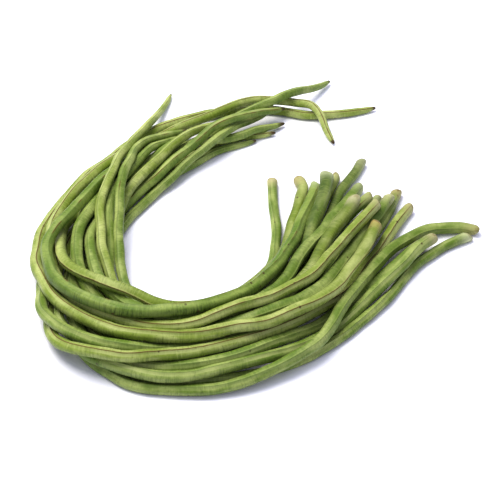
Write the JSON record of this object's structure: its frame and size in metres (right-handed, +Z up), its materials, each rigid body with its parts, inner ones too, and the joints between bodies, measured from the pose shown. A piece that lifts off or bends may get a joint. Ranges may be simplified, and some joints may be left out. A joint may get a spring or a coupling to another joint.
{
  "type": "yardlong bean bunch",
  "caption": "Loose bunch of long thin green bean pods lying on a surface, bent round into an open C with pale cut stem ends and fine brown tips.",
  "frame": {"origin": "on the surface that the bunch lies on, under the middle of its box", "axes": "+Z up, +X towards the cut stem ends, +Y towards the back arm of the C with the tips; the C opens towards +X"},
  "size_m": [0.3194, 0.3474, 0.0348],
  "materials": {
    "pod_skin_light": "matt, waxy, light yellow-green with a fine brown seam line",
    "pod_skin_green": "matt, waxy, mid green",
    "pod_skin_dark": "matt, waxy, deep green"
  },
  "bodies": {
    "root": {"pod_01": "pod_skin_light", "pod_02": "pod_skin_light", "pod_03": "pod_skin_dark", "pod_04": "pod_skin_light", "pod_05": "pod_skin_green", "pod_06": "pod_skin_green", "pod_07": "pod_skin_light", "pod_08": "pod_skin_green", "pod_09": "pod_skin_green", "pod_10": "pod_skin_light", "pod_11": "pod_skin_green", "pod_12": "pod_skin_dark", "pod_13": "pod_skin_green", "pod_14": "pod_skin_green", "pod_15": "pod_skin_light", "pod_16": "pod_skin_green", "pod_17": "pod_skin_light", "pod_18": "pod_skin_green", "pod_19": "pod_skin_light"}
  },
  "joints": []
}
